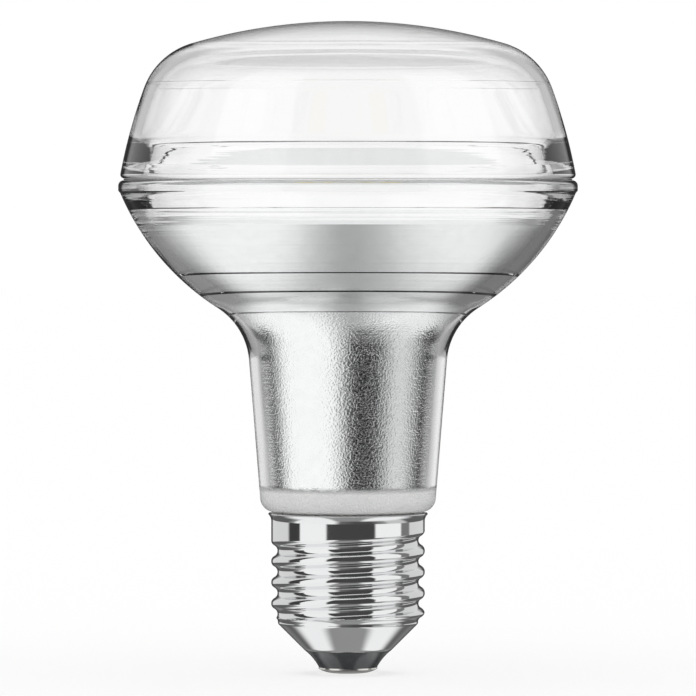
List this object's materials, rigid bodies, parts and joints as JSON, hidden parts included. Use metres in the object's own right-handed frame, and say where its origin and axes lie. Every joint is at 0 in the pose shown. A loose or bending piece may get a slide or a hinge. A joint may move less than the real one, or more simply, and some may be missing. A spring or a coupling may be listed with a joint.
{
  "type": "reflector bulb",
  "caption": "Reflector lamp with a clear glass front, a mirrored bowl and stippled neck, and an Edison screw cap.",
  "frame": {"origin": "centre of the end contact's lowest face", "axes": "+Z along the lamp axis, from the cap to the glass front; +X and +Y are across it, and the thread passes its groove datum on +X"},
  "size_m": [0.079, 0.0788, 0.112],
  "materials": {
    "clear_glass": "clear pressed glass",
    "clear_seal": "clear silicone adhesive",
    "mirror_layer": "bright aluminium layer behind glass",
    "cast_aluminium": "satin",
    "white_board": "white solder resist",
    "yellow_phosphor": "phosphor under clear resin",
    "screw_steel": "zinc plated",
    "white_plastic": "moulded",
    "black_plastic": "moulded",
    "plated_pin": "plated",
    "green_board": "glass fibre laminate",
    "can_sleeve": "printed-free shrink sleeve",
    "yellow_case": "dipped case",
    "ferrite": "matt",
    "copper_wire": "enamelled copper",
    "resistor_body": "matt",
    "tinned_wire": "tinned",
    "cement": "matt cement",
    "nickel_shell": "polished nickel plate",
    "dark_glass": "dark insulating glass",
    "nickel_contact": "polished nickel plate",
    "solder": "solder, slightly dull"
  },
  "bodies": {
    "root": {"glass_dome": "clear_glass", "rim_seal": "clear_seal", "reflector_body": "clear_glass", "mirror_coating": "mirror_layer", "heat_spreader": "cast_aluminium", "led_board": "white_board", "led_chips": "yellow_phosphor", "board_screws": "screw_steel", "board_socket": "white_plastic", "header_pins": "plated_pin", "header_block": "black_plastic", "driver_sleeve": "white_plastic", "driver_board": "green_board", "bulk_capacitor": "can_sleeve", "film_capacitor": "yellow_case", "inductor_core": "ferrite", "inductor_winding": "copper_wire", "bridge_rectifier": "black_plastic", "driver_chip": "black_plastic", "chip_resistors": "resistor_body", "fusible_resistor": "resistor_body", "supply_wire": "tinned_wire", "shell_wire": "tinned_wire", "cap_cement": "cement", "cap_shell": "nickel_shell", "cap_insulator": "dark_glass", "centre_contact": "nickel_contact", "contact_solder": "solder"}
  },
  "joints": []
}
